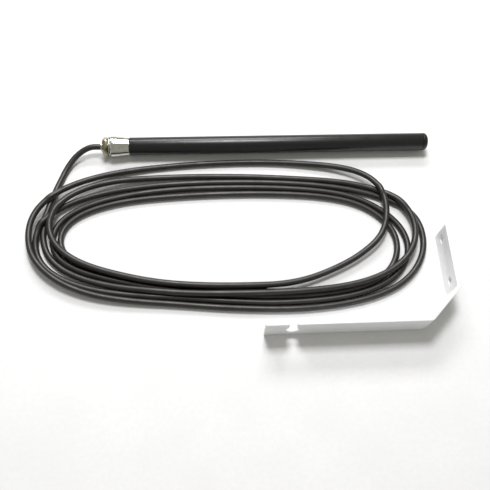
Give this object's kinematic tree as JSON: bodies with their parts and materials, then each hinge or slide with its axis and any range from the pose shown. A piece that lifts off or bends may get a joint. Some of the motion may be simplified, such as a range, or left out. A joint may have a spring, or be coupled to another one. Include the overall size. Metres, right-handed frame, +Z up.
{
  "type": "flame sensor probe",
  "caption": "Slim black flame sensor probe with a plated rear cone and fixing nut, a long coiled signal cable, and a cranked white keyhole bracket for the wall.",
  "frame": {"origin": "on the floor, under the middle of the box round the probe and the bracket, the cable left out", "axes": "+X along the probe from the cable end to the sight glass, +Y from the bracket to the probe, +Z up"},
  "size_m": [0.4012, 0.209, 0.03],
  "materials": {
    "black_aluminium": "satin black anodised",
    "chrome_plate": "polished chromium plate",
    "nickel_brass": "nickel-plated brass, machined",
    "nickel": "bright nickel",
    "brass": "turned brass",
    "sight_glass": "clear polished glass",
    "rubber": "matt nitrile rubber",
    "grey_plastic": "moulded grey polyamide",
    "circuit_board": "green solder mask",
    "capacitor_sleeve": "shrink sleeve",
    "chip_epoxy": "moulded epoxy",
    "trimmer_plastic": "moulded plastic",
    "terminal_plastic": "moulded plastic",
    "core_brown": "extruded PVC",
    "core_blue": "extruded PVC",
    "core_black": "extruded PVC",
    "cable_jacket": "extruded satin black PVC",
    "white_powder_coat": "satin white powder coat on steel"
  },
  "bodies": {
    "probe": {"probe_tube": "black_aluminium", "tip_cap": "black_aluminium", "tip_o_ring": "rubber", "sight_glass": "sight_glass", "glass_gasket": "rubber", "glass_retainer": "brass", "photocell_can": "nickel", "photocell_base": "nickel", "photocell_holder": "grey_plastic", "amplifier_board": "circuit_board", "board_carrier_front": "grey_plastic", "board_carrier_rear": "grey_plastic", "board_capacitor_1": "capacitor_sleeve", "board_capacitor_2": "capacitor_sleeve", "board_chip": "chip_epoxy", "board_trimmer": "trimmer_plastic", "terminal_block": "terminal_plastic", "core_wire_1": "core_brown", "core_wire_2": "core_blue", "core_wire_3": "core_black", "cone_body": "chrome_plate", "cone_o_ring": "rubber", "cable_seal": "rubber", "cable_clamp": "brass", "cable_in_neck": "cable_jacket", "cable_lead": "cable_jacket", "cable_coil": "cable_jacket"},
    "washer": {"neck_washer": "chrome_plate"},
    "nut": {"fixing_nut": "nickel_brass"},
    "bracket": {"bracket": "white_powder_coat"}
  },
  "joints": [
    {"name": "washer_slide", "type": "slide", "parent": "probe", "child": "washer", "axis": [1, 0, 0], "range_m": [-0.004, 0]},
    {"name": "nut_turn", "type": "hinge", "parent": "washer", "child": "nut", "pos_m": [-0.16325, 0.09375, 0.0108], "axis": [1, 0, 0], "range_deg": [-1440, 0]},
    {"name": "bracket_lift", "type": "slide", "parent": "probe", "child": "bracket", "axis": [0, 0, 1], "range_m": [0, 0.1]}
  ],
  "couplings": [
    {"joint": "washer_slide", "follows": "nut_turn", "m_per_rad": 0.00015915}
  ]
}
